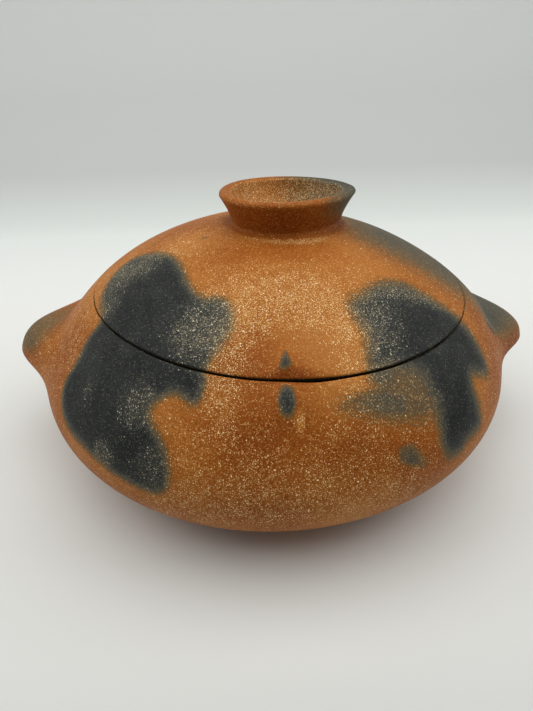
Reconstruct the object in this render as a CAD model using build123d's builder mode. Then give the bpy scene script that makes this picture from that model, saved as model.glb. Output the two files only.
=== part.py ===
"""Lidded bean pot, hand-built in unglazed micaceous clay.

One closed, domed form is coiled up and smoothed, and the lid is then cut out of its shoulder with a
knife held square to the wall. The cut is set off centre, so the lid seats in one position only, and
a nub that crosses the cut shows which. Two half-moon lugs carry the pot, a flared ring on the crown
is the grip of the lid, and a coil smeared inside under the cut is the shelf that the lid rests on.

Frame: millimetres, +Z up, origin at the centre of the flat base. The lugs lie along X, the nub
faces -Y, and the lid lifts straight up.
"""

import os
from math import cos, radians, tan

from build123d import *

# Closed form: two cubic curves that meet, upright, at the belly
belly_radius = 120.0
belly_height = 48.0
foot_radius = 42.0
crown_height = 121.3
belly_drop = 26.0  # how far the wall keeps upright below the belly
base_reach = 49.0  # how far it keeps level outwards from the foot
shoulder_rise = 24.0  # how far it keeps upright above the belly
crown_reach = 78.0  # how far it keeps level outwards from the crown
wall = 6.5

# The knife's cut that parts the lid from the pot: a cone about an axis of its own
cut_axis = (6.5, -11.5)
cut_radius = 85.6
cut_height = 88.0  # the level at which cut_radius is measured
cut_lean = 40.0  # of the knife from upright, which is square to the wall there
cut_gap = 1.0
worn_edge = 1.0  # rounding of the two outer edges along the cut

# Shelf inside the mouth, a smeared coil that follows the wall's own curve
ledge_hold = 9.0  # reach under the pot's wall
ledge_reach = 8.0  # reach inwards under the lid
ledge_depth = 5.0
ledge_edge = 1.5
seat_clearance = 0.3

# Half-moon lugs: bells of clay on the wall, stretched sideways
lug_rise = 12.0  # of the bell's axis above the belly
lug_reach = 20.6  # of the nose beyond the belly
lug_root = 28.0  # how far inside the belly the skirt lies
lug_blunt = 15.0  # how far the nose keeps square to the bell's axis
lug_neck = 13.0  # half-thickness down to which the skirt keeps square to it
lug_flare = 20.0  # half-thickness of the skirt
lug_span = 48.0  # and its half-width

# Registration nub across the cut
nub_height = 4.0
nub_sink = 2.4  # how far its skirt dips under the curved wall
nub_blunt = 5.0
nub_neck = 8.0
nub_flare = 14.0

# Flared ring knob
knob_axis = (7.8, -0.4)
knob_rise = 14.0  # of the lip above the crown
knob_rim_radius = 32.2
knob_lip = 6.0
knob_lip_round = 2.2  # height of the lip's rounding, from where the ring is widest
knob_rim_lean = (2.8, 4.6)  # how far the flare keeps straight below the rim: inwards and down
knob_neck_radius = 26.8
knob_neck_drop = 0.4  # of the neck's narrowest part below the crown
knob_neck_hold = 2.5  # how far the neck keeps upright, above and below that
knob_foot_radius = 38.0
knob_foot_drop = 5.8  # of the foot's outer edge below the crown
knob_foot_run = 6.0  # the foot's slope, inwards
knob_foot_rise = 1.8  # and upwards
knob_bore_radius = 20.0
knob_bore_hold = 4.0  # how far the bore keeps upright below the lip
knob_root_drop = 13.3  # deep enough for the dome to cut the ring's foot to its own curve


def handle(length, drop, inset):
    """Length of a cubic curve's end handle after the curve is set in by inset.

    drop is the far handle's distance from this end's tangent. The end's radius of curvature is
    3/2 length^2 / drop, and the handle shrinks in the proportion in which that radius does.
    """
    end_radius = 3 / 2 * length**2 / drop
    return length * (1 - inset / end_radius)


def closed_form(inset):
    """The whole closed form as a solid, its skin set in from the outer face by inset."""
    belly = belly_radius - inset
    crown = crown_height - inset
    drop = handle(belly_drop, belly_radius - foot_radius - base_reach, inset)
    reach = handle(base_reach, belly_height - belly_drop, inset)
    rise = handle(shoulder_rise, belly_radius - crown_reach, inset)
    span = handle(crown_reach, crown_height - belly_height - shoulder_rise, inset)
    with BuildPart() as form:
        with BuildSketch(Plane.XZ):
            with BuildLine():
                Bezier(
                    (foot_radius, inset),
                    (foot_radius + reach, inset),
                    (belly, belly_height - drop),
                    (belly, belly_height),
                )
                Bezier(
                    (belly, belly_height),
                    (belly, belly_height + rise),
                    (span, crown),
                    (0, crown),
                )
                Polyline((0, crown), (0, inset), (foot_radius, inset))
            make_face()
        revolve(axis=Axis.Z)
    return form.part


def cut_cone(spread):
    """Everything inside the knife's cone, from the belly up, widened all round by spread."""
    height = crown_height - belly_height
    widening = tan(radians(cut_lean))
    foot = cut_radius - (cut_height - belly_height) * widening + spread
    with BuildPart() as cone:
        with Locations((*cut_axis, belly_height)):
            Cone(
                foot,
                foot + height * widening,
                height,
                align=(Align.CENTER, Align.CENTER, Align.MIN),
            )
    return cone.part


def bell_section(height, skirt, blunt, neck, flare):
    """Half section of a bell that points along +Y: a blunt nose, and a skirt that runs out level."""
    with BuildSketch() as section:
        with BuildLine():
            Bezier((0, height), (blunt, height), (neck, skirt), (flare, skirt))
            Polyline((flare, skirt), (0, skirt), (0, height))
        make_face()
    return section.sketch


def nub():
    """The whole registration nub, before the knife's cut parts it."""
    cut_line = (outer_form & cut_cone(0)).edges().sort_by(SortBy.LENGTH)[-1]
    front = cut_line.intersect(Plane.YZ).sort_by(Axis.Y)[0].center()
    shoulder = outer_form.faces().sort_by(Axis.Z)[-1]
    outward = shoulder.normal_at(front)
    seat = Plane(front, x_dir=(1, 0, 0), z_dir=Vector(1, 0, 0).cross(outward))
    with BuildPart() as mound:
        with BuildSketch(seat):
            add(bell_section(nub_height, -nub_sink, nub_blunt, nub_neck, nub_flare))
        revolve(axis=Axis(front, outward))
        add(outer_form, mode=Mode.SUBTRACT)
    return mound.part


half_gap = cut_gap / 2 / cos(radians(cut_lean))  # measured level, as the cones are
outer_form = closed_form(0)
inner_form = closed_form(wall)
lid_cone = cut_cone(-half_gap)
mouth_cone = cut_cone(half_gap)
whole_nub = nub()


# Pot body
with BuildPart() as bowl:
    add(outer_form)
    add(inner_form, mode=Mode.SUBTRACT)
    add(mouth_cone, mode=Mode.SUBTRACT)
    mouth_edge = bowl.edges(Select.NEW).sort_by(SortBy.LENGTH)[-1]
    fillet(mouth_edge, worn_edge)
bowl.part.label = "bowl"

lug_nose = belly_radius + lug_reach
lug_skirt = belly_radius - lug_root
lugs = []
for side, name in ((1, "lug_right"), (-1, "lug_left")):
    lug_plane = Plane((0, 0, belly_height + lug_rise), x_dir=(0, 0, 1), z_dir=(0, side, 0))
    with BuildPart() as lug:
        with BuildSketch(lug_plane):
            add(bell_section(lug_nose, lug_skirt, lug_blunt, lug_neck, lug_flare))
        revolve(axis=Axis(lug_plane.origin, lug_plane.y_dir))
        scale(by=(1, lug_span / lug_flare, 1))
        add(outer_form, mode=Mode.SUBTRACT)
    lug.part.label = name
    lugs.append(lug.part)

with BuildPart() as lid_room:
    add(inner_form)
    add(closed_form(wall + seat_clearance), mode=Mode.SUBTRACT)
    add(cut_cone(0), mode=Mode.INTERSECT)

with BuildPart() as lid_ledge:
    add(inner_form)
    add(closed_form(wall + ledge_depth), mode=Mode.SUBTRACT)
    add(cut_cone(ledge_hold), mode=Mode.INTERSECT)
    add(lid_room.part, mode=Mode.SUBTRACT)
    add(cut_cone(-ledge_reach), mode=Mode.SUBTRACT)
    ends = lid_ledge.faces().filter_by(GeomType.CONE).sort_by(SortBy.AREA)
    shelf_edges = ends[-2].edges().filter_by(GeomType.BSPLINE)
    wall_edge = ends[-1].edges().sort_by(SortBy.LENGTH)[-2:].sort_by(Axis.Z)[0]
    fillet([*shelf_edges, wall_edge], ledge_edge)
lid_ledge.part.label = "lid_ledge"

with BuildPart() as bowl_nub:
    add(whole_nub)
    add(mouth_cone, mode=Mode.SUBTRACT)
bowl_nub.part.label = "bowl_nub"


# Lid body
with BuildPart() as lid:
    add(outer_form)
    add(inner_form, mode=Mode.SUBTRACT)
    add(lid_cone, mode=Mode.INTERSECT)
    lid_edge = lid.edges().sort_by(SortBy.LENGTH)[-1]
    fillet(lid_edge, worn_edge)
lid.part.label = "lid"

knob_plane = Plane((*knob_axis, 0), x_dir=(1, 0, 0), z_dir=(0, -1, 0))
knob_turning = Axis((*knob_axis, 0), (0, 0, 1))
lip_height = crown_height + knob_rise - knob_lip_round
lip_crest = lip_height + 4 / 3 * knob_lip_round  # the curve's handles, a third above its top
lip_outside = (knob_rim_radius, lip_height)
lip_inside = (knob_rim_radius - knob_lip, lip_height)
neck = (knob_neck_radius, crown_height - knob_neck_drop)
foot = (knob_foot_radius, crown_height - knob_foot_drop)
root = crown_height - knob_root_drop
with BuildPart() as knob:
    with BuildSketch(knob_plane):
        with BuildLine():
            Bezier(
                foot,
                (foot[0] - knob_foot_run, foot[1] + knob_foot_rise),
                (neck[0], neck[1] - knob_neck_hold),
                neck,
            )
            Bezier(
                neck,
                (neck[0], neck[1] + knob_neck_hold),
                (lip_outside[0] - knob_rim_lean[0], lip_height - knob_rim_lean[1]),
                lip_outside,
            )
            Bezier(lip_outside, (lip_outside[0], lip_crest), (lip_inside[0], lip_crest), lip_inside)
            Polyline(lip_inside, (0, lip_height), (0, root), (foot[0], root), foot)
        make_face()
    revolve(axis=knob_turning)
    add(outer_form, rotation=(0, 0, 90), mode=Mode.SUBTRACT)  # its seam turned off the ring's
    with BuildSketch(knob_plane):
        with BuildLine():
            Bezier(
                lip_inside,
                (lip_inside[0], lip_height - knob_bore_hold),
                (knob_bore_radius, foot[1]),
            )
            Polyline(
                (knob_bore_radius, foot[1]),
                (knob_bore_radius, root),
                (0, root),
                (0, lip_height),
                lip_inside,
            )
        make_face()
    revolve(axis=knob_turning, mode=Mode.SUBTRACT)
knob.part.label = "knob"

with BuildPart() as lid_nub:
    add(whole_nub)
    add(lid_cone, mode=Mode.INTERSECT)
lid_nub.part.label = "lid_nub"


os.makedirs("parts", exist_ok=True)
for piece in (bowl.part, *lugs, lid_ledge.part, bowl_nub.part, lid.part, knob.part, lid_nub.part):
    export_step(piece, f"parts/{piece.label}.step")
    print(f"{piece.label:10} {piece.volume / 1000:7.1f} cm3, {len(piece.solids())} solid")
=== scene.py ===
# %% [markdown]
# # A lidded bean pot in micaceous clay
#
# The real pot is coiled up as one closed, domed form. Its lid is then cut out of the shoulder with a
# knife, so the two pieces share one skin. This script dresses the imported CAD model, which gives the
# sizes, with smooth clay skins, one for each loose piece and one for the ledge inside, and paints them
# with the marks of an open fire: charcoal clouds with olive edges on orange clay, and a glitter of
# mica.

import bpy
import numpy as np
from mathutils import Matrix, Vector


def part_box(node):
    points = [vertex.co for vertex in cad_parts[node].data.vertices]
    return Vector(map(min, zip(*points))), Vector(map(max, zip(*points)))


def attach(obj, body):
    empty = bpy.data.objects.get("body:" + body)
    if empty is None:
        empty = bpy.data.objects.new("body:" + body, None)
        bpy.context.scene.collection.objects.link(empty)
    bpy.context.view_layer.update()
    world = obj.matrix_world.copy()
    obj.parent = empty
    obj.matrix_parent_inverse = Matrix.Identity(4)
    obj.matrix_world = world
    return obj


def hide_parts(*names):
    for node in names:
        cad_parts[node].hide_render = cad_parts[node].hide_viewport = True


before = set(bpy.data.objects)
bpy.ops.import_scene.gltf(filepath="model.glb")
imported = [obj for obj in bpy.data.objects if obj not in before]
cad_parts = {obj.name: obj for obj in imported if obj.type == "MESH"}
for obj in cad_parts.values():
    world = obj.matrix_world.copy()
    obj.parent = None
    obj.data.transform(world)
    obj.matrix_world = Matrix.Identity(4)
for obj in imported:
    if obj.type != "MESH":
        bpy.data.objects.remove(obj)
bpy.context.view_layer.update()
MM = 0.001  # Blender counts in metres, and this script in millimetres

# %% [markdown]
# ## One outline for both skins
#
# A turned solid needs only its half outline. Ours is two cubic curves that meet upright at the belly,
# as a potter's rib leaves them. It could be read off the CAD mesh, but a formula gives every
# point we ask for, and its normals too, so the skins stay smooth at any density.

# %% The outline as a table over its own length
belly_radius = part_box("bowl")[1].y / MM
crown_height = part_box("lid")[1].z / MM
knob_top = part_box("knob")[1].z / MM
belly_height, foot_radius = 48.0, 42.0
belly_drop, base_reach, shoulder_rise, crown_reach = 26.0, 49.0, 24.0, 78.0
wall = 6.5


def cubic(corners, share):
    """A cubic curve: four points weighted (1-t)^3, 3t(1-t)^2, 3t^2(1-t) and t^3."""
    a, b, c, d = (np.asarray(p, float) for p in corners)
    t = np.asarray(share, float)[..., None]
    return (1 - t) ** 3 * a + 3 * t * (1 - t) ** 2 * b + 3 * t**2 * (1 - t) * c + t**3 * d


curve_points, floor_points = 1500, 60
shares = np.linspace(0, 1, curve_points)
dome_curve = [
    (0, crown_height),
    (crown_reach, crown_height),
    (belly_radius, belly_height + shoulder_rise),
    (belly_radius, belly_height),
]
base_curve = [
    (belly_radius, belly_height),
    (belly_radius, belly_height - belly_drop),
    (foot_radius + base_reach, 0),
    (foot_radius, 0),
]
outline = np.vstack(
    [
        cubic(dome_curve, shares),
        cubic(base_curve, shares[1:]),
        [(r, 0) for r in np.linspace(foot_radius, 0, floor_points)[1:]],
    ]
)
steps = np.hypot(*np.diff(outline, axis=0).T)
length = np.concatenate([[0], np.cumsum(steps)])  # from the crown, down along the skin
slope = np.gradient(outline, axis=0)
slope /= np.linalg.norm(slope, axis=1)[:, None]
outward = np.stack([-slope[:, 1], slope[:, 0]], 1)
print(f"outline: {length[-1]:.0f} mm from crown to the middle of the base")


def on_form(azimuth, along):
    """A point of the closed form and its outward normal, by azimuth and length down from the crown."""
    r, z = (np.interp(along, length, outline[:, k]) for k in (0, 1))
    out, up = (np.interp(along, length, outward[:, k]) for k in (0, 1))
    turn = np.cos(azimuth), np.sin(azimuth)
    place = np.stack(np.broadcast_arrays(r * turn[0], r * turn[1], z), -1)
    normal = np.stack(np.broadcast_arrays(out * turn[0], out * turn[1], up), -1)
    return place, normal


def above(plan):
    """The point of the dome above a plan position, its normal, and its length down from the crown."""
    reach = np.hypot(plan[..., 0], plan[..., 1])
    upper = length <= length[curve_points - 1]
    along = np.interp(reach, outline[upper, 0], length[upper])
    place, normal = on_form(np.arctan2(plan[..., 1], plan[..., 0]), along)
    return place, normal, along


def unrolled(place, along):
    """Flat map of the skin: the azimuth kept, and the length from the crown as the radius."""
    azimuth = np.arctan2(place[..., 1], place[..., 0])
    return along * np.cos(azimuth), along * np.sin(azimuth)


# %% [markdown]
# ## The knife's cut
#
# The lid leaves the form along a cone whose axis stands a little off the pot's, so it fits in one
# position only. The hand that led the knife swung wide on the left, so the line bulges there. For
# each direction we look for the point where the form crosses the cut. A search by halving is plain,
# works on all directions at once, and can't run away.

# %% Where the cut crosses the form
cut_axis = np.array([6.5, -11.5])
cut_radius, cut_height = 85.6, 88.0
cut_lean = np.tan(np.radians(40.0))
cut_swing, swing_half = 5.0, 0.5  # how far the line bulges on the left, and over what angle
worn_edge = 0.8  # rounding of both edges along the cut
search_span = 30.0, 108.0  # from the centre: surely inside the cut, surely outside
halvings = 40


def cut_point(centre, azimuth):
    """Plan position of the cut, seen from a centre: halve the span in which it must lie.

    The cone's radius at a height is widened by cut_swing * exp(-(turn / swing_half)^2), turn being
    the angle from the left.
    """
    direction = np.stack([np.cos(azimuth), np.sin(azimuth)], -1)
    near, far = (np.full(azimuth.shape, end) for end in search_span)
    for _ in range(halvings):
        middle = (near + far) / 2
        plan = centre + middle[..., None] * direction
        place = above(plan)[0]
        from_axis = plan - cut_axis
        turn = np.arctan2(from_axis[..., 1], -from_axis[..., 0])
        swing = cut_swing * np.exp(-((turn / swing_half) ** 2))
        cone = cut_radius + (place[..., 2] - cut_height) * cut_lean
        outside = np.linalg.norm(from_axis, axis=-1) > cone + swing
        near, far = np.where(outside, near, middle), np.where(outside, middle, far)
    return centre + near[..., None] * direction


def cut_frame(centre, azimuth):
    """Point of the cut, outward normal, and the direction in the skin that points to the lid."""
    place, normal, _ = above(cut_point(centre, azimuth))
    inward = np.zeros_like(place)
    inward[..., :2] = cut_axis - place[..., :2]
    inward -= (inward * normal).sum(-1, keepdims=True) * normal
    return place, normal, inward / np.linalg.norm(inward, axis=-1, keepdims=True)


compass = cut_frame(np.zeros(2), np.radians([-90, 0, 90, 180]))[0]
print("the cut at the front, right, back and left:", np.round(compass, 1).tolist())

# %% [markdown]
# ## What hands leave on the form
#
# Nothing pinched and scraped by hand is a true solid of revolution. Long, low waves move the skin by
# a few tenths of a millimetre, and the shoulder sits a little fuller on the right and flatter on the
# left. They could be sculpted or left to a noise texture; as sums of sine waves they close up all
# round and stay the same at any density. The nub is a pinch of clay across the cut: a narrow crest on
# the lid, a low swelling on the pot, and the knife's line in the dip between them. The lugs are half
# moons pushed out sideways. A bell curve would make them peaks; with a higher power in its place each
# keeps a blunt face and meets the wall in a crease.

# %% Unevenness, nub and lugs
nub_line = -103.5  # the cut's front on the flat map


def unevenness(place):
    """Three slow sine waves in azimuth and height that only press in, and a lean to the right.

    The waves die out towards the base and the middle. The lean is 1.4 cos(azimuth) times a bell
    curve in height: it fills the shoulder on the right and flattens it as much on the left.
    """
    azimuth = np.arctan2(place[..., 1], place[..., 0])
    height = place[..., 2]
    waves = 0.20 * np.sin(2 * azimuth + height / 37 + 0.6)
    waves = waves + 0.12 * np.sin(3 * azimuth - height / 23 + 2.0)
    waves = waves + 0.10 * np.sin(5 * azimuth + height / 15 + 4.1)
    reach = np.hypot(place[..., 0], place[..., 1]) / 20
    lean = 1.4 * np.cos(azimuth) * np.exp(-(((height - 80) / 17) ** 2))
    return (waves - 0.42) * np.clip(height / 14, 0, 1) * np.clip(reach, 0, 1) + lean


def nub(across, down):
    """A pinched crest on the lid that has almost run out at the cut, and a swelling on the pot.

    Along the skin the crest is a bell curve, a little steeper towards the crown; across it is
    exp(-(|x| / w)^1.3), and w widens from the tip to the cut. The swelling is a bell curve both ways.
    """
    up_lid = down - nub_line
    rise = np.exp(-(((up_lid - 6.5) / np.where(up_lid > 6.5, 4.0, 4.6)) ** 2))
    width = 1.2 + 5.0 * np.clip(1 - up_lid / 11, 0, 1) ** 1.5
    crest = 2.6 * rise * np.exp(-(np.abs((across - 0.2) / width) ** 1.3))
    swelling = 1.5 * np.exp(-((across / 6.5) ** 2) - ((up_lid + 8.5) / 7.0) ** 2)
    return np.where(up_lid > 0, crest, 0) + swelling


def lug(place, side, middle, half_width, thick, blunt, crest, droop):
    """A lug's push on the skin: crest * exp(-|y/w|^2.6 - |h/t|^n) outwards, droop times that up.

    h is the height above the lug's middle; t and n are given for below it and for above.
    """
    height = place[..., 2] - middle
    upper = (height > 0).astype(int)
    fall = np.abs(place[..., 1] / half_width) ** 2.6
    fall = fall + np.abs(height / np.array(thick)[upper]) ** np.array(blunt)[upper]
    reach = crest * np.exp(-fall) * (place[..., 0] * side > 0)
    return np.stack([side * reach, 0 * reach, droop * reach], -1)


def shaped(place, normal, along, lugs=False):
    """The form with its unevenness and nub along the normal, and the lugs along X."""
    across, down = unrolled(place, along)
    lift = unevenness(place) + nub(across, down) * (place[..., 1] < 0)
    made = place + lift[..., None] * normal
    if lugs:
        thin = {"middle": 58.2, "half_width": 26.5, "thick": (6.6, 11.5), "blunt": (4.0, 4.0)}
        full = {"middle": 60.8, "half_width": 26.7, "thick": (11.2, 10.9), "blunt": (3.6, 4.6)}
        made += lug(place, side=1, **thin, crest=20.6, droop=-0.13)
        made += lug(place, side=-1, **full, crest=18.4, droop=0.04)
    return made


belly_ring, _ = on_form(np.radians([-90, 0, 90, 180]), length[curve_points - 1])
print("unevenness round the belly in mm:", np.round(unevenness(belly_ring), 2).tolist())

# %% [markdown]
# ## From a grid of points to a mesh
#
# Every skin here is one grid: columns run round the pot, and rows run along the outline, over the
# edge and back along the inside. On the pot and the lid a pole closes each end; the ledge is a ring,
# so its last row meets its first. A Solidify modifier could also give a wall, but here outside and
# inside are one sheet, so the wall's edge can be worn round and no seam is open.

# %% Spacing and mesh builder
def spaced(low, high, count, fine):
    """Values from low to high, packed closer round each (centre, half width, times) in fine.

    The density is 1 + the sum of times * exp(-((value - centre) / half width)^4), and the values
    share its running total evenly.
    """
    probe = np.linspace(low, high, 4000)
    weight = np.ones(probe.shape)
    for centre, half, times in fine:
        weight = weight + times * np.exp(-(((probe - centre) / half) ** 4))
    total = np.concatenate([[0], np.cumsum((weight[1:] + weight[:-1]) / 2)])
    return np.interp(np.linspace(0, total[-1], count), total, probe)


def skin_mesh(name, rows, marks, poles=None):
    """A closed skin from rows of points in mm that go round.

    The corner (i, j) meets (i, j+1), (i+1, j+1) and (i+1, j), and the last column meets the first.
    With two poles a fan closes each end; without, the last row meets the first. marks gives a value
    at each point, those at the poles last, for each named attribute.
    """
    count, around = rows.shape[:2]
    points = rows.reshape(-1, 3)
    row = np.arange(count if poles is None else count - 1)[:, None]
    column = np.arange(around)
    after = (column + 1) % around
    below, ahead = row * around, (row + 1) % count * around
    quads = np.stack([below + column, below + after, ahead + after, ahead + column], -1)
    faces = quads.reshape(-1, 4).tolist()
    if poles is not None:
        first, last, last_row = len(points), len(points) + 1, (count - 1) * around
        points = np.vstack([points, poles])
        faces += np.stack([np.full(around, first), after, column], -1).tolist()
        faces += np.stack([last_row + column, last_row + after, np.full(around, last)], -1).tolist()
    mesh = bpy.data.meshes.new(name)
    mesh.from_pydata((points * MM).tolist(), [], faces)
    mesh.polygons.foreach_set("use_smooth", np.ones(len(mesh.polygons), bool))
    for mark, values in marks.items():
        layer = mesh.attributes.new(mark, "FLOAT", "POINT")
        layer.data.foreach_set("value", np.asarray(values, np.float32).ravel())
    made = bpy.data.objects.new(name, mesh)
    bpy.context.scene.collection.objects.link(made)
    size = points.max(0) - points.min(0)
    print(f"{name}: {len(points)} points, {np.round(size, 1)} mm")
    return made


print("packed round the middle:", np.round(spaced(0, 1, 9, [(0.5, 0.2, 2.0)]), 2).tolist())

# %% [markdown]
# ## Fire clouds
#
# Where fuel lay against the pot, the clay took in carbon and turned charcoal; the rim of each cloud,
# where some of it burnt out again, is olive. The clouds cross the cut, because lid and pot were fired
# together. They are drawn as outlines on the flat map of the skin, which an image texture would also
# need, and each point's depth inside an outline becomes a smooth value on the mesh, the smoke mark.
# Two more marks say where much mica shows, partly as painted glints where its flakes catch the light,
# and where the clay holds much iron, a mark that also carries painted shade and one painted highlight;
# they change slowly, so soft mounds are enough for them. The grain of every edge is left to the
# material.

# %% Cloud outlines on the flat map, in mm: outline, edge width, strength
left_cloud = [
    (-66, -12), (-57, -17), (-50, -24), (-45, -34), (-41, -46), (-38, -57), (-33, -64), (-23, -66),
    (-20, -74), (-21, -82), (-27, -89), (-33, -95), (-33, -101), (-37, -109), (-41, -105),
    (-46, -101), (-54, -102), (-60, -106), (-58, -114), (-54, -121), (-54, -130), (-58, -137),
    (-66, -138), (-74, -133), (-82, -127), (-91, -119), (-98, -110), (-106, -100), (-112, -90),
    (-114, -78), (-108, -69), (-98, -65), (-92, -57), (-86, -54), (-81, -51), (-84, -38), (-84, -26),
    (-79, -15), (-72, -11),
]  # fmt: skip
right_cloud = [
    (50, -54), (58, -53), (66, -56), (77, -59), (86, -62), (96, -71), (103, -79), (94, -83),
    (86, -86), (87, -93), (93, -98), (100, -105), (95, -110), (90, -115), (86, -122), (79, -125),
    (72, -122), (69, -114), (66, -106), (63, -99), (58, -94), (46, -97), (36, -98), (34, -92),
    (35, -84), (31, -78), (29, -70), (36, -64), (42, -58),
]  # fmt: skip
grey_patch = [
    (33, -98), (46, -97), (62, -93), (68, -106), (61, -116), (46, -118), (30, -118), (17, -114),
    (24, -111), (34, -109),
]  # fmt: skip
right_haze = [
    (38, -8), (44, -22), (62, -32), (88, -38), (108, -34), (118, -20), (124, 6), (108, 42), (72, 62),
    (38, 40),
]  # fmt: skip
back_cloud = [
    (-20, 60), (-48, 48), (-74, 62), (-86, 86), (-72, 112), (-50, 128), (-30, 118), (-34, 96),
    (-14, 84),
]  # fmt: skip
nub_streak = [(0.2, -92.5), (1.1, -96.5), (1.8, -100.6), (-2.2, -101), (-2.0, -99), (-1.2, -96)]
back_spot = [(62, 112), (80, 104), (96, 112), (98, 132), (82, 146), (66, 136)]
right_lug_top = [(112, -34), (122, -40), (130, -32), (134, -8), (134, 20), (124, 34), (112, 30)]
left_lug_top = [(-126, -28), (-134, -26), (-140, -12), (-140, 14), (-128, 20), (-122, 0)]
clouds = [
    (left_cloud, 4.8, 1.0),
    (right_cloud, 7.0, 1.0),
    (grey_patch, 7.0, 0.44),
    (right_haze, 24.0, 0.54),
    (back_cloud, 4.5, 1.0),
    (back_spot, 6.0, 0.9),
    (right_lug_top, 9.0, 0.6),
    (left_lug_top, 8.0, 0.42),
    (nub_streak, 1.5, 0.8),
]
spots = [  # centre, half width, half height, strength
    (-0.6, -112.2, 3.1, 5.3, 0.8),
    (53, -129, 5.5, 4.0, 0.5),
    (60, -131, 5.0, 2.5, 0.3),
    (38, -111, 12.0, 3.5, 0.25),
    (38, -101, 5.0, 3.0, 0.25),
    (-32, -17, 2.4, 1.2, 0.25),
    (116, -42, 5.0, 2.0, 0.8),
]
print(len(clouds), "clouds and", len(spots), "spots of smoke")


# %% From outlines and mounds to soft marks
def rounded(outline_points, rounds=2):
    """The outline with its corners cut: each side keeps its middle half, again and again."""
    points = np.asarray(outline_points, float)
    for _ in range(rounds):
        following = np.roll(points, -1, axis=0)
        points = np.stack([0.75 * points + 0.25 * following, 0.25 * points + 0.75 * following], 1)
        points = points.reshape(-1, 2)
    return points


def depth_inside(x, y, points):
    """Distance to the nearest side of a closed outline, positive inside and negative outside."""
    nearest = np.full(x.shape, np.inf)
    inside = np.zeros(x.shape, bool)
    for a, b in zip(points, np.roll(points, -1, axis=0)):
        side = b - a
        share = np.clip(((x - a[0]) * side[0] + (y - a[1]) * side[1]) / (side @ side), 0, 1)
        gap = np.hypot(x - a[0] - share * side[0], y - a[1] - share * side[1])
        nearest = np.minimum(nearest, gap)
        if side[1] != 0:
            crosses = (a[1] > y) != (b[1] > y)
            inside ^= crosses & (x < a[0] + side[0] * (y - a[1]) / side[1])
    return np.where(inside, nearest, -nearest)


def soft_step(value):
    """0 below 0, 1 above 1, and 3t^2 - 2t^3 between."""
    t = np.clip(value, 0, 1)
    return t * t * (3 - 2 * t)


def mounds(x, y, patches):
    """The sum of flat-topped patches, each strength * exp(-((across/w)^2 + (down/h)^2)^1.5).

    It is held between -1 and 1.
    """
    total = np.zeros(x.shape)
    for across, down, half_width, half_height, strength in patches:
        away = ((x - across) / half_width) ** 2 + ((y - down) / half_height) ** 2
        total += strength * np.exp(-(away**1.5))
    return np.clip(total, -1, 1)


print("the left cloud:", len(left_cloud), "corners, cut to", len(rounded(left_cloud)))

# %% Mounds of mica and painted glints, and of iron and painted shade, on the flat map, in mm
glinting_smoke = [  # lighter patches of the clouds that glint, partly flakes and partly painted glints: centre, half width, half height, strength
    (-32, -79, 15, 14, 0.72),
    (-68, -24, 18, 12, 0.6),
    (-79, -42, 8, 12, 0.3),
    (-64, -103, 12, 10, 0.45),
    (-92, -87, 4, 6, 0.3),
    (-89, -114, 7, 6, 0.55),
    (-62, -128, 12, 9, 0.35),
    (39, -78, 12, 20, 0.5),
    (56, -58, 20, 6, 0.5),
    (40, -108, 26, 12, 0.3),
    (-0.2, -95, 3, 4, 0.9),
    (-0.6, -110, 4, 5, 0.15),
]
# Partly real mica, partly painted glints placed where the flakes catch the light.
mica_and_glint_patches = [  # where much mica shows, and painted glints: centre, half width, half height, strength
    (-3, -71, 33, 17, 0.9),
    (6, -74, 16, 10, 0.3),
    (-27, -93, 14, 13, 0.7),
    (-27, -110, 8, 11, 0.45),
    (30, -90, 10, 16, 0.45),
    (-44, -20, 14, 22, 0.2),
    (-42, -118, 24, 14, 0.12),
    (30, -118, 22, 14, 0.12),
    (-5, -150, 86, 18, 0.4),
    (56, -142, 20, 12, 0.14),
    (-104, -36, 30, 44, 0.2),
    (104, -58, 30, 50, 0.1),
    # a painted highlight on the crease beside the nub's swelling
    (4.2, -119.5, 1.8, 4, 1.0),
]
no_glint_patches = [(2, -93, 15, 13, 0.9), (4, -117, 12, 14, 0.4), (2, -39, 32, 7, 0.7)]  # fewer flakes shown where they face away from the light: a painted lack of glints
iron_and_shade_tint = [  # positive is redder and darker, negative stays ochre; some are painted shade and one a painted highlight
    # painted shade across the middle of the front wall
    (18, -125, 56, 15, 0.85),
    (0, -152, 96, 20, 0.35),
    # painted shade along the lid's edge under the nub's crest
    (3, -102.6, 14, 2.6, 1.0),
    # a painted highlight on the crease beside the nub's swelling
    (4.2, -119.5, 1.8, 3.6, -1.0),
    (8, -62, 60, 38, -0.3),
    (2, -38, 44, 10, 0.4),
    (-112, -52, 24, 26, 0.4),
    (-136, -6, 18, 26, 0.8),
    (140, -14, 26, 34, 0.9),
    (112, -64, 18, 24, 0.5),
    (-18, -92, 16, 12, 0.35),
    (2, -87, 12, 8, -0.5),
    (26, -94, 14, 14, -0.4),
    (24, -113, 20, 8, -0.4),
    (56, -38, 26, 16, -0.3),
]
print("mounds:", len(glinting_smoke), "glinting,", len(mica_and_glint_patches), "bright,", len(iron_and_shade_tint), "of iron")


# %% The smoke mark, and the mark of mica and painted glints, as functions of the flat map
def smoke(x, y):
    """How charred the clay is: each cloud and spot lets through a part of what the others leave.

    Where patches of it glint, partly as painted glints, up to 0.4 of it is gone.
    """
    clear = np.ones(x.shape)
    for points, edge, strength in clouds:
        depth = depth_inside(x, y, rounded(points))
        clear *= 1 - strength * soft_step(0.5 + depth / (2 * edge))
    for across, down, half_width, half_height, strength in spots:
        away = np.hypot((x - across) / half_width, (y - down) / half_height)
        clear *= 1 - strength * soft_step(1.5 - away)
    return (1 - clear) * (1 - 0.4 * mounds(x, y, glinting_smoke))


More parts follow.
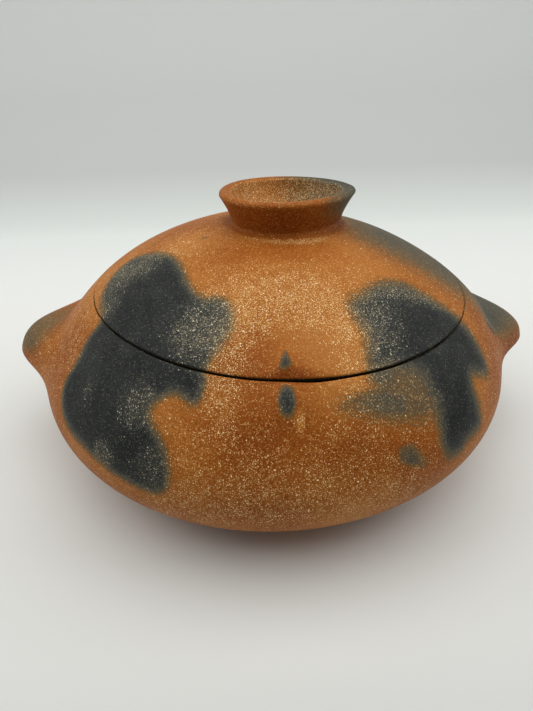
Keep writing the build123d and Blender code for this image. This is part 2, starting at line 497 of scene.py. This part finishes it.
def glitter(x, y, char):
    """How much the flakes show, partly as painted glints: smoke hides them, but for patches in it that
    glint.
    """
    on_clay = 0.16 + mounds(x, y, mica_and_glint_patches)
    in_smoke = 0.01 + mounds(x, y, glinting_smoke)
    shown = on_clay + (in_smoke - on_clay) * np.clip(1.3 * char, 0, 1)
    return np.clip(shown, 0, 1) * (1 - mounds(x, y, no_glint_patches))


probe_x, probe_y = np.array([-70.0, 0.0]), np.array([-80.0, -80.0])
print("smoke in the left cloud and beside it:", np.round(smoke(probe_x, probe_y), 2).tolist())

# %% [markdown]
# ## The pot skin
#
# The pot is what stays below the cut. Its lugs and the lower half of the nub were smeared on while
# wet, so no seam shows. They could be objects of their own, joined by a boolean, but that leaves a
# hard crease, so they are pushed out of the same grid. The rows start at the middle of the base,
# climb the wall, turn over the worn edge of the mouth, go down the knife's cut and return along the
# inside to the floor. Rows and columns lie closer together where the lugs are, because a wide grid
# would leave facets on their flanks.

# %% The two edges of the cut
gap_side, gap_front = 0.3, 0.18  # from the middle of the cut to each edge, and what the front adds
chip_place, chip_half = 12, 9  # of the chip beside the nub, across the front
worn_turns = np.radians([0, 18, 36, 54, 72, 90])
cut_depths = 0.45, 0.7, 0.9  # of the rows down the cut, as shares of the wall


def opened(flat, chipped):
    """Half the gap: thin at the sides, wider in front, and a bell curve more at the chip."""
    front_part = soft_step((-np.asarray(flat[1]) - 60) / 40)
    chip = np.exp(-(((flat[0] - chip_place) / chip_half) ** 2)) * (flat[1] < 0)
    return gap_side + gap_front * front_part + chipped * chip


def edge_rows(place, normal, inward, half_gap, away):
    """Rows over a worn edge and down the cut; away is -1 for the pot and 1 for the lid.

    The worn edge is a quarter circle: centre + worn_edge * (cos(a) normal - away sin(a) inward).
    """
    corner = place + (away * half_gap)[..., None] * inward
    centre = corner + worn_edge * (away * inward - normal)
    rows = [
        centre + worn_edge * (np.cos(a) * normal - away * np.sin(a) * inward) for a in worn_turns
    ]
    rows += [corner - wall * depth * normal for depth in cut_depths]
    return rows, corner


print("half the gap at the back and in front:", opened((0, 90), 0), opened((0, -100), 0))

# %% Grid of the pot
fine_turns = [(0.0, 0.42, 1.9), (np.pi, 0.42, 1.9), (-np.pi / 2, 0.2, 1.2), (-np.pi, 0.42, 1.9)]
pot_turn = spaced(-np.pi, np.pi, 421, fine_turns)[:-1]
pot_chip = 0.45  # how much the chip opens the pot's edge
level_top = 114  # length from the crown at which rows begin that lie level all round
pole_gap, floor_gap = 3, 8  # from the last row to the middle, outside and inside
under_cut = 2.5  # from the cut to where the inside begins
seam, seam_normal, seam_inward = cut_frame(np.zeros(2), pot_turn)
seam_along = above(seam[:, :2])[2]
seam_flat = unrolled(seam, seam_along)
seam_made = shaped(seam, seam_normal, seam_along)
pot_edge, _ = edge_rows(
    seam_made, seam_normal, seam_inward, opened(seam_flat, pot_chip), -1.0
)
wall_along = spaced(level_top, length[-1] - pole_gap, 150, [(131, 7, 3.0), (148, 9, 3.6)])
near_cut = seam_along + 1.6 * gap_side + worn_edge + 0.9
lip_along = near_cut + np.linspace(0, 1, 14)[:-1, None] * (wall_along[0] - near_cut)
outer_along = np.vstack([np.repeat(wall_along[::-1, None], len(pot_turn), 1), lip_along[::-1]])
outer_place, outer_normal = on_form(pot_turn[None, :], outer_along)
outer_rows = shaped(outer_place, outer_normal, outer_along, lugs=True)

inner_share = np.linspace(0, 1, 42)[1:, None]
inner_top = seam_along + under_cut
inner_along = inner_top + inner_share * (length[-1] - floor_gap - inner_top)
inner_place, inner_normal = on_form(pot_turn[None, :], inner_along)
inner_rows = inner_place + (unevenness(inner_place) - wall)[..., None] * inner_normal

pot_rows = np.concatenate([outer_rows, np.stack(pot_edge), inner_rows])
edge_along = np.repeat(seam_along[None, :], len(pot_edge), 0)
pot_flat = unrolled(
    np.concatenate([outer_place, np.repeat(seam[None], len(pot_edge), 0), inner_place]),
    np.concatenate([outer_along, edge_along, inner_along]),
)
print("pot grid:", pot_rows.shape[:2])

# %% Marks and mesh of the pot
# the inside, the lid's underside and the faces of the cut are given half a cloud's charring, so they
# are darker
inside_darkening, inside_mica, inside_iron = 0.5, 0.3, 0.3
dark_edge_rows = 4  # rows of the cut and its edge that are as dark as the inside
is_inside = np.zeros(pot_rows.shape[:2], bool)
is_inside[-len(inner_rows) - dark_edge_rows :] = True
pot_smoke = np.where(is_inside, inside_darkening, smoke(*pot_flat))
pot_mica_and_glints = np.where(is_inside, inside_mica, glitter(*pot_flat, pot_smoke))
pot = skin_mesh(
    "pot",
    pot_rows,
    {
        "smoke": np.append(pot_smoke, [0.3, inside_darkening]),
        "mica_and_glints": np.append(pot_mica_and_glints, [0.2, inside_mica]),
        "iron_and_shade": np.append(mounds(*pot_flat, iron_and_shade_tint), [0.3, inside_iron]),
    },
    poles=[(0, 0, 0), (0, 0, wall)],
)
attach(pot, "pot")
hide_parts("bowl", "lug_left", "lug_right", "bowl_nub")

# %% [markdown]
# ## The lid skin
#
# The lid is the dome that the knife freed, with a ring of clay luted on as its grip. A turned ring
# could be set on the dome, but the potter's thumb has smeared that join away. So both are one grid,
# whose columns run round the knob, not round the pot, to keep the ring round. The rows start under
# the crown, go out along the underside, up the cut, over the worn edge and in along the dome. A
# fillet drawn as a cubic curve carries the dome into the knob's neck; from there the ring flares to
# its lip, turns in and ends in the cup, whose floor is the dome itself.

# %% Grid of the lid
knob_axis = np.array([7.8, -0.4])
rim_radius, lip, lip_round, neck_radius, neck_height = 32.2, 6.0, 2.2, 26.8, 120.9
bore_radius, fillet_radius, fillet_run, neck_hold = 20.5, 36.0, 5.0, 2.4
cup_flare, cup_bend, cup_foot = 3.0, 124.0, 121.6  # widening of the cup's wall, and two heights
lid_chip = 0.15  # how much the chip opens the lid's edge
lid_turn = spaced(-np.pi, np.pi, 401, [(-np.pi / 2, 0.22, 1.0)])[:-1]
lid_direction = np.stack([np.cos(lid_turn), np.sin(lid_turn)], -1)

lid_seam, lid_normal, lid_inward = cut_frame(knob_axis, lid_turn)
lid_seam_along = above(lid_seam[:, :2])[2]
lid_seam_flat = unrolled(lid_seam, lid_seam_along)
lid_seam_made = shaped(lid_seam, lid_normal, lid_seam_along)
lid_edge, lid_corner = edge_rows(
    lid_seam_made, lid_normal, lid_inward, opened(lid_seam_flat, lid_chip), 1.0
)


def ring(radius, height, pinch=0.0):
    """A ring about the knob's axis: radius * (1 + two sine waves), and pinch * exp(-(turn/0.22)^2).

    The pinch is a beak on the right. All of the ring sways by a quarter of a millimetre, and where
    it is wider than the neck it sits 0.3 mm lower.
    """
    wave = 1 + 0.008 * np.sin(2 * lid_turn + 0.9) + 0.006 * np.sin(3 * lid_turn + 2.2)
    beak = pinch * np.exp(-((lid_turn / 0.22) ** 2))
    radii = radius * wave + beak
    sway = 0.25 * np.sin(2 * lid_turn + 2.4) - 0.3 * (radius > neck_radius + 0.1)
    heights = np.broadcast_to(height, lid_turn.shape) + sway
    return np.concatenate([knob_axis + radii[:, None] * lid_direction, heights[:, None]], -1)


print("the ring sways in mm:", np.round(np.ptp(ring(rim_radius, 0)[:, 2]), 2))

# %% Rows over the dome, into the knob's neck, and round the knob
edge_start = lid_corner + (worn_edge + 0.6) * lid_inward
foot_plan = knob_axis + fillet_radius * lid_direction
dome_share = np.linspace(0, 1, 58)[:, None, None]
dome_plan = edge_start[:, :2] + dome_share * (foot_plan - edge_start[:, :2])
dome_place, dome_normal, dome_along = above(dome_plan)
dome_rows = shaped(dome_place, dome_normal, dome_along)

foot = dome_rows[-1]
run_in = above(knob_axis + (fillet_radius - fillet_run) * lid_direction)[0]
neck = ring(neck_radius, neck_height)
under_neck = neck - [0, 0, neck_hold]
fillet_rows = cubic([foot, run_in, under_neck, neck], np.linspace(0, 1, 20)[1:, None])

lip_height = knob_top - lip_round
flare_curve = [
    (neck_radius, neck_height),
    (neck_radius, neck_height + 2.5),
    (rim_radius - 2.8, lip_height - 4.6),
    (rim_radius, lip_height),
]
lip_curve = [
    (rim_radius, lip_height),
    (rim_radius + 0.5, lip_height + lip_round * 4 / 3),
    (rim_radius - lip, lip_height + lip_round * 4 / 3),
    (rim_radius - lip, lip_height),
]
bore_curve = [
    (rim_radius - lip, lip_height),
    (rim_radius - lip, lip_height - 4.0),
    (bore_radius + cup_flare, cup_bend),
    (bore_radius, cup_foot),
]
part_way = np.linspace(0, 1, 15)[1:]  # without 0, where the row before already stands
flare_rows = [ring(*point, share**2) for point, share in zip(cubic(flare_curve, part_way), part_way)]
lip_rows = [ring(*point, 1 - share) for point, share in zip(cubic(lip_curve, part_way), part_way)]
bore_rows = [ring(*point) for point in cubic(bore_curve, part_way)]
floor_radius = np.linspace(bore_radius, 0, 12)[1:-1]
floor_rows = []
for radius in floor_radius:
    plan = knob_axis + radius * lid_direction
    floor = above(plan)[0]
    floor[:, 2] += 0.3 * (radius / bore_radius) ** 6
    floor_rows.append(floor)
print("rows of the knob:", len(fillet_rows) + 3 * len(part_way) + len(floor_rows))

# %% Rows of the underside, and all rows together
under_share = np.linspace(0, 1, 30)[1:, None, None]
under_end = lid_corner[:, :2] + 1.6 * lid_inward[:, :2]
under_plan = knob_axis + under_share * (under_end - knob_axis)
under_place, under_normal, _ = above(under_plan)
under_rows = under_place + (unevenness(under_place) - wall)[..., None] * under_normal

lid_rows = np.concatenate(
    [
        under_rows,
        np.stack(lid_edge[::-1]),
        dome_rows,
        fillet_rows,
        np.stack(flare_rows),
        np.stack(lip_rows),
        np.stack(bore_rows),
        np.stack(floor_rows),
    ]
)
print("lid grid:", lid_rows.shape[:2])

# %% Marks and mesh of the lid
lid_along = above(lid_rows[..., :2])[2]
lid_flat = unrolled(lid_rows, lid_along)
row = np.arange(len(lid_rows))[:, None]
lid_under = row < len(under_rows) + dark_edge_rows
knob_row = row - (len(under_rows) + len(lid_edge) + len(dome_rows) + 4)  # 0 inside the fillet
on_knob = soft_step(knob_row / 8)
on_flare = soft_step((knob_row - 16) / 10)
in_bore = soft_step((knob_row - 36) / 8)
knob_right = soft_step((np.cos(lid_turn - 0.25)[None, :] + 0.1) / 1.2)

# smoke licked the ring on its right, and a little of it lies in the cup
knob_smoke = on_knob * knob_right * (0.14 + 0.46 * on_flare - 0.3 * in_bore)
knob_smoke = knob_smoke + 0.05 * on_flare + 0.05 * in_bore
lid_smoke = 1 - (1 - smoke(*lid_flat) * (1 - on_knob)) * (1 - np.clip(knob_smoke, 0, 0.8))
lid_smoke = np.where(lid_under, inside_darkening, lid_smoke)

# painted glints on the fillet in front and a painted highlight on the left of the lip; mica dust
# gathers in the cup
in_front = np.exp(-(((lid_turn + np.pi / 2) / 0.45) ** 2))[None, :]
fillet_glints = in_front * np.exp(-(((knob_row - 2) / 2.6) ** 2))
lip_left = np.exp(-(((lid_turn + 2.0) / 0.5) ** 2))[None, :]
lip_highlight = lip_left * np.exp(-(((knob_row - 37) / 4.0) ** 2))
knob_mica_and_glints = 1.5 * fillet_glints + 0.5 * lip_highlight + 0.08 * on_flare + 0.9 * in_bore
lid_mica_and_glints = glitter(*lid_flat, lid_smoke) * (1 - on_knob) + knob_mica_and_glints
lid_mica_and_glints = np.where(lid_under, inside_mica, np.clip(lid_mica_and_glints, 0, 1))

# the neck is darker and redder, most of all on the right: partly red clay, partly painted shade under
# the flaring lip
knob_iron_and_shade = on_knob * (0.4 - 0.8 * in_bore + 1.3 * knob_right * (1 - on_flare))
lid_iron_and_shade = mounds(*lid_flat, iron_and_shade_tint) + knob_iron_and_shade

crown_under = (*knob_axis, above(knob_axis)[0][2] - wall)
cup_middle = (*knob_axis, above(knob_axis)[0][2])
lid = skin_mesh(
    "lid_and_knob",
    lid_rows,
    {
        "smoke": np.append(lid_smoke, [inside_darkening, 0.5]),
        "mica_and_glints": np.append(lid_mica_and_glints, [inside_mica, 0.6]),
        "iron_and_shade": np.append(lid_iron_and_shade, [inside_iron, 0.6]),
    },
    poles=[crown_under, cup_middle],
)
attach(lid, "lid")
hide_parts("lid", "knob", "lid_nub")

# %% [markdown]
# ## Colours as written
#
# A hex code is an sRGB colour, and a shader wants linear light. One function does the conversion.
# Another adds a node, sets it and links it, so that a material reads as a list of what it does. It
# takes sockets by number: in a MapRange node 0 is the value, 1 and 2 are the range it comes from, and
# 3 and 4 the range it goes to; in a Mix node 0 is the share, and 6 and 7 are the two colours.

# %% Colour and node helpers
def srgb(code):
    """Linear RGBA of a hex colour: c/12.92 near black, and ((c + 0.055) / 1.055)^2.4 above."""
    parts = [int(code[k : k + 2], 16) / 255 for k in (1, 3, 5)]
    return tuple(c / 12.92 if c <= 0.04045 else ((c + 0.055) / 1.055) ** 2.4 for c in parts) + (1.0,)


def wire(tree, kind, inputs=None, out=0, stops=(), **settings):
    """Add a shader node, set its properties, colour stops and inputs, and return one output.

    A stop is a position and a hex colour. An input is a value, or another node's socket to link.
    """
    made = tree.nodes.new("ShaderNode" + kind)
    for name, value in settings.items():
        setattr(made, name, value)
    if stops:
        elements = made.color_ramp.elements
        while len(elements) < len(stops):
            elements.new(0.5)
        for element, (position, code) in zip(elements, stops):
            element.position, element.color = position, srgb(code)
    for socket, value in (inputs or {}).items():
        if isinstance(value, bpy.types.NodeSocket):
            tree.links.new(value, made.inputs[socket])
        else:
            made.inputs[socket].default_value = value
    return made.outputs[out] if made.outputs else made


print("mid grey as linear light:", round(srgb("#808080")[0], 3))

# %% [markdown]
# ## Micaceous earthenware, stone-burnished
#
# The clay is dug with its mica in it: flakes from dust to half a millimetre that lie flat in the
# surface after burnishing, and flash. It is unglazed, so the body colour is matt, and the rubbing
# gives it a low sheen. Iron in an open fire makes it orange, and carbon makes it charcoal. A painted
# image could hold all that but would blur close by. Noise and cells measured in millimetres stay
# sharp, and the three marks tell them where the clay is charred, where it glitters, partly as
# painted glints, and where it is red, a mark that also holds painted shade and one painted highlight.
# The flash of the flakes is painted into their colour as a painted glint. The smallest flakes are too
# fine to show, so they are drawn about as large as the biggest real ones.

# %% Material of the clay
def flakes(tree, place, spacing, radius, share, brightest):
    """Mica flakes in cells one spacing wide, in mm: a share of the cells hold one, most of them dull.

    A cell draws a lot from 0 to 1; its gleam is brightest * (1 - lot / share)^1.5, or none past the
    share. The flake is full to 0.4 of its radius and fades out towards the radius. The gleam goes into
    the colour: partly the flakes' own colour, partly a painted glint.
    """
    cell = wire(tree, "TexVoronoi", {"Vector": place, "Scale": 1 / (spacing * MM)}, out="Distance")
    lot = wire(tree, "SeparateColor", {0: cell.node.outputs["Color"]})
    gleam = wire(tree, "MapRange", {0: lot, 1: share, 2: 0.0})
    gleam = wire(tree, "Math", {0: gleam, 1: 1.5}, operation="POWER")
    gleam = wire(tree, "Math", {0: gleam, 1: brightest}, operation="MULTIPLY")
    body = wire(tree, "MapRange", {0: cell, 1: radius / spacing, 2: 0.4 * radius / spacing})
    return wire(tree, "Math", {0: body, 1: gleam}, operation="MULTIPLY")


def micaceous_clay(name):
    """Burnished micaceous earthenware with fire clouds, led by the smoke, mica and iron marks."""
    material = bpy.data.materials.new(name)
    material.use_nodes = True
    tree = material.node_tree
    tree.nodes.clear()
    place = wire(tree, "TexCoord", out="Object")
    smoke_mark = wire(tree, "Attribute", out="Fac", attribute_name="smoke")
    mica_and_glint_mark = wire(tree, "Attribute", out="Fac", attribute_name="mica_and_glints")
    iron_and_shade_mark = wire(tree, "Attribute", out="Fac", attribute_name="iron_and_shade")

    # the body colour wanders between red, orange and tan over some centimetres and from grain to
    # grain, and the iron mark pushes it to either side; that mark also carries painted shade, which
    # pushes it to the dark red end, and one painted highlight
    broad = wire(tree, "TexNoise", {"Vector": place, "Scale": 1 / (42 * MM), "Detail": 4.0})
    crumbs = wire(tree, "TexNoise", {"Vector": place, "Scale": 1 / (0.8 * MM), "Detail": 2.0})
    hue = wire(tree, "Math", {0: iron_and_shade_mark, 1: -0.35, 2: broad}, operation="MULTIPLY_ADD")
    hue = wire(tree, "Math", {0: crumbs, 1: 0.75, 2: hue}, operation="MULTIPLY_ADD")
    clays = [(0.1, "#42210a"), (0.35, "#6c2d05"), (0.7, "#914b12"), (0.9, "#a36022"), (1.0, "#ae6c2e")]
    orange = wire(tree, "ValToRGB", {0: hue}, stops=clays)

    # drifts of ash mottle a cloud, and its edge breaks up grain by grain
    ash = {"Vector": place, "Scale": 1 / (15 * MM), "Detail": 6.0, "Roughness": 0.62}
    drifts = wire(tree, "TexNoise", ash)
    drifts = wire(tree, "Math", {0: drifts, 1: 0.75, 2: 0.65}, operation="MULTIPLY_ADD")
    grainy = wire(tree, "Math", {0: drifts, 1: smoke_mark}, operation="MULTIPLY")
    grainy = wire(tree, "Math", {0: crumbs, 1: 0.8, 2: grainy}, operation="MULTIPLY_ADD")
    charred = wire(tree, "MapRange", {0: grainy, 1: 0.47, 2: 1.58})
    chars = [(0.0, "#7e4c1a"), (0.2, "#6f5330"), (0.42, "#504c3e"), (0.66, "#343633"), (1.0, "#1a1d1d")]
    char_color = wire(tree, "ValToRGB", {0: charred}, stops=chars)
    halo = wire(tree, "MapRange", {0: charred, 1: 0.0, 2: 0.18})
    body = wire(tree, "Mix", {0: halo, 6: orange, 7: char_color}, out=2, data_type="RGBA")

    # dust and flakes of mica, thicker in some patches than in others; how bright they are is partly
    # their own colour and partly a painted glint
    patches = wire(tree, "TexNoise", {"Vector": place, "Scale": 1 / (5 * MM), "Detail": 4.0})
    patches = wire(tree, "MapRange", {0: patches, 1: 0.32, 2: 0.68, 3: 0.5, 4: 1.5})
    amount = wire(tree, "Math", {0: mica_and_glint_mark, 1: patches}, operation="MULTIPLY")
    powder = wire(tree, "MapRange", {0: charred, 3: 0.4, 4: 0.2})
    powder = wire(tree, "Math", {0: amount, 1: 1.5, 2: powder}, operation="MULTIPLY_ADD")
    shine = wire(tree, "MapRange", {0: amount, 2: 0.5, 3: 0.6, 4: 0.95})
    dust = flakes(tree, place, 0.47, 0.28, powder, shine)
    plenty = wire(tree, "MapRange", {0: amount, 1: 0.06, 2: 1.0, 3: 0.001, 4: 1.5})
    grit = flakes(tree, place, 0.74, 0.32, plenty, 1.2)
    rare = wire(tree, "MapRange", {0: amount, 1: 0.1, 2: 1.0, 3: 0.001, 4: 0.42})
    sparks = flakes(tree, place, 1.5, 0.46, rare, 1.3)
    mica_and_glints = wire(tree, "Math", {0: dust, 1: grit}, operation="MAXIMUM")
    mica_and_glints = wire(tree, "Math", {0: mica_and_glints, 1: sparks}, operation="MAXIMUM")
    golds = [(0.0, "#d99c4e"), (0.5, "#f0c274"), (1.0, "#ffeec8")]
    ashes = [(0.0, "#7b7663"), (0.5, "#9a937c"), (1.0, "#e6ddbe")]
    golden = wire(tree, "ValToRGB", {0: mica_and_glints}, stops=golds)
    ashy = wire(tree, "ValToRGB", {0: mica_and_glints}, stops=ashes)
    mica_color = {0: wire(tree, "MapRange", {0: charred, 2: 0.7}), 6: golden, 7: ashy}
    mica_color = wire(tree, "Mix", mica_color, out=2, data_type="RGBA")
    color = wire(tree, "Mix", {0: mica_and_glints, 6: body, 7: mica_color}, out=2, data_type="RGBA")

    # matt clay, bright flakes; the grain stands a few hundredths of a millimetre proud
    roughness = wire(tree, "MapRange", {0: mica_and_glints, 3: 0.55, 4: 0.35})
    relief = wire(tree, "Math", {0: mica_and_glints, 1: 0.35, 2: crumbs}, operation="MULTIPLY_ADD")
    bump = wire(tree, "Bump", {"Height": relief, "Strength": 0.5, "Distance": 0.1 * MM})
    surface = {"Base Color": color, "Roughness": roughness, "Normal": bump}
    shader = wire(tree, "BsdfPrincipled", {**surface, "IOR": 1.5, "Specular IOR Level": 0.1})
    wire(tree, "OutputMaterial", {"Surface": shader})
    return material


clay = micaceous_clay("micaceous_earthenware")
for skin in (pot, lid):
    skin.data.materials.append(clay)
print("material:", clay.name, len(clay.node_tree.nodes), "nodes")

# %% [markdown]
# ## The ledge
#
# Nothing would keep a lid cut square to the wall from slipping in, so the potter smears a coil inside
# under the cut. Only its nose shows, and only with the lid off. It could be swept along a curve, but
# a swept section keeps one angle, and this one has to lean with the wall all the way round. So its
# section is drawn in two numbers, the way across the cut and the depth under the outer face, and is
# carried round the mouth.

# %% Ledge skin
ledge_section = np.array(
    [
        (-13.0, 6.3), (-6.0, 6.3), (-0.9, 6.3), (-0.6, 6.9), (3.0, 6.9), (6.0, 7.1), (7.5, 7.8),
        (8.0, 9.0), (7.4, 10.3), (5.8, 11.1), (3.0, 11.4), (-2.0, 11.2), (-6.5, 10.3), (-10.0, 8.4),
    ]
)  # fmt: skip
ledge_turn = np.linspace(-np.pi, np.pi, 241)[:-1]
ledge_seam, _, ledge_inward = cut_frame(np.zeros(2), ledge_turn)
ledge_rows = []
for way, depth in rounded(ledge_section, 1):
    place, normal, _ = above(ledge_seam[:, :2] + way * ledge_inward[:, :2])
    sway = unevenness(place) + 0.25 * np.sin(9 * ledge_turn + way / 3) * (depth > 7.5)
    ledge_rows.append(place + (sway - depth)[:, None] * normal)
ledge_rows = np.stack(ledge_rows)
ledge = skin_mesh(
    "lid_ledge_coil",
    ledge_rows,
    {
        "smoke": np.full(ledge_rows.shape[:2], inside_darkening),
        "mica_and_glints": np.full(ledge_rows.shape[:2], inside_mica),
        "iron_and_shade": np.full(ledge_rows.shape[:2], inside_iron),
    },
)
ledge.data.materials.append(clay)
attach(ledge, "pot")
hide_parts("lid_ledge")

# %% [markdown]
# ## Floor, light and camera
#
# The pot stands on a pale sheet that curves up behind it, so that no horizon line shows; the paper's
# colour is painted darker in front, at the bend and up the back, as painted shade for how the light
# falls off. One broad lamp hangs above and a little in front, which lights the lid and leaves the
# lower wall in soft shade. Two weaker lamps stand at the sides, as windows would, so that the flanks
# don't go dark, and the world fills in the rest. One small lamp would be simpler, but its shadow would
# be hard. The camera looks down from close by, as one holds a telephone, so the near wall looms and
# the far side is hidden by the dome.

# %% Sheet
sheet_front, sheet_back, sheet_half, sweep, sheet_top = -900.0, 420.0, 1500.0, 330.0, 1500.0


def pale_sheet():
    """Floor, quarter-circle sweep and upright back, carried sideways as one strip."""
    bend = np.radians(np.linspace(0, 90, 25))
    curve = np.stack([sheet_back + sweep * np.sin(bend), sweep * (1 - np.cos(bend))], -1)
    profile = np.vstack([[(sheet_front, 0)], curve, [(sheet_back + sweep, sheet_top)]])
    sides = [np.insert(profile, 0, x, axis=1) for x in (-sheet_half, sheet_half)]
    points = np.vstack(sides) * MM
    number = len(profile)
    faces = [(k, k + number, k + number + 1, k + 1) for k in range(number - 1)]
    mesh = bpy.data.meshes.new("pale_sheet")
    mesh.from_pydata(points.tolist(), [], faces)
    mesh.polygons.foreach_set("use_smooth", np.ones(len(faces), bool))
    made = bpy.data.objects.new("pale_sheet", mesh)
    bpy.context.scene.collection.objects.link(made)
    return made


paper = bpy.data.materials.new("matt_paper")
paper.use_nodes = True
paper_tree = paper.node_tree
paper_shader = paper_tree.nodes["Principled BSDF"]
sheet_place = wire(paper_tree, "TexCoord", out="Object")
shade_front, shade_back = -200, 750  # between which the painted shade on the paper runs
back = wire(paper_tree, "SeparateXYZ", {0: sheet_place}, out="Y")
back = wire(paper_tree, "MapRange", {0: back, 1: shade_front * MM, 2: shade_back * MM})
# the paper's colour is painted darker in front, at the bend and up the back: painted shade
painted_shade_stops = [(0, "#c6c7c5"), (0.06, "#d8d9d5"), (0.14, "#dedfdb"), (0.42, "#e6e7e3"), (0.63, "#e5e9e5")]
painted_shade_stops += [(0.75, "#d5d9d5"), (0.83, "#c7c9c6"), (0.94, "#c9cbc8"), (1, "#d1d3d0")]
shade = wire(paper_tree, "ValToRGB", {0: back}, stops=painted_shade_stops)
paper_tree.links.new(shade, paper_shader.inputs["Base Color"])
paper_shader.inputs["Roughness"].default_value = 0.9
paper_shader.inputs["Specular IOR Level"].default_value = 0.1
sheet = pale_sheet()
sheet.data.materials.append(paper)
print("sheet:", len(sheet.data.polygons), "strips,", len(painted_shade_stops), "painted_shade_stops")


# %% Light
def lamp(name, place, target, size, power):
    """A square lamp at a place in mm that faces a target, with its power in watts."""
    light = bpy.data.lights.new(name, "AREA")
    light.shape = "SQUARE"
    light.size, light.energy = size * MM, power
    made = bpy.data.objects.new(name, light)
    made.location = Vector(place) * MM
    aim = Vector(target) - Vector(place)
    made.rotation_euler = aim.to_track_quat("-Z", "Y").to_euler()
    bpy.context.scene.collection.objects.link(made)
    print(f"{name}: {power} W over {size} mm")


lamp("ceiling_lamp", (0, -120, 1000), (0, 0, 0), 1150, 8.2)
lamp("left_lamp", (-900, 0, 700), (0, 0, 60), 800, 4.2)
lamp("right_lamp", (900, 0, 700), (0, 0, 60), 800, 4.3)
room_color, room_strength = "#f4f6f5", 0.12
world = bpy.data.worlds.new("room")
bpy.context.scene.world = world
world.use_nodes = True
room = world.node_tree.nodes["Background"]
room.inputs["Color"].default_value = srgb(room_color)
room.inputs["Strength"].default_value = room_strength

# %% Camera
camera_place = (-12.8, -244.9, 184.9)
heading, look_down, tilt = np.radians([2.17, 30.26, -1.42])  # from +Y towards +X, down, and roll
sensor, focal_share = 36, 493 / 711  # focal length as a share of the frame's height
focal = focal_share * sensor
forward = Vector(
    (np.sin(heading) * np.cos(look_down), np.cos(heading) * np.cos(look_down), -np.sin(look_down))
)
level = Vector((np.cos(heading), -np.sin(heading), 0))
upright = level.cross(forward)
right = np.cos(tilt) * level + np.sin(tilt) * upright
upwards = -np.sin(tilt) * level + np.cos(tilt) * upright
lens = bpy.data.cameras.new("camera")
lens.lens, lens.sensor_width, lens.clip_start = focal, sensor, 10 * MM
camera = bpy.data.objects.new("camera", lens)
camera.matrix_world = Matrix.Translation(Vector(camera_place) * MM) @ Matrix(
    (right, upwards, -forward)
).transposed().to_4x4()
bpy.context.scene.collection.objects.link(camera)
bpy.context.scene.camera = camera
bpy.context.scene.view_settings.view_transform = "Standard"
print("lens in mm:", round(focal, 2))
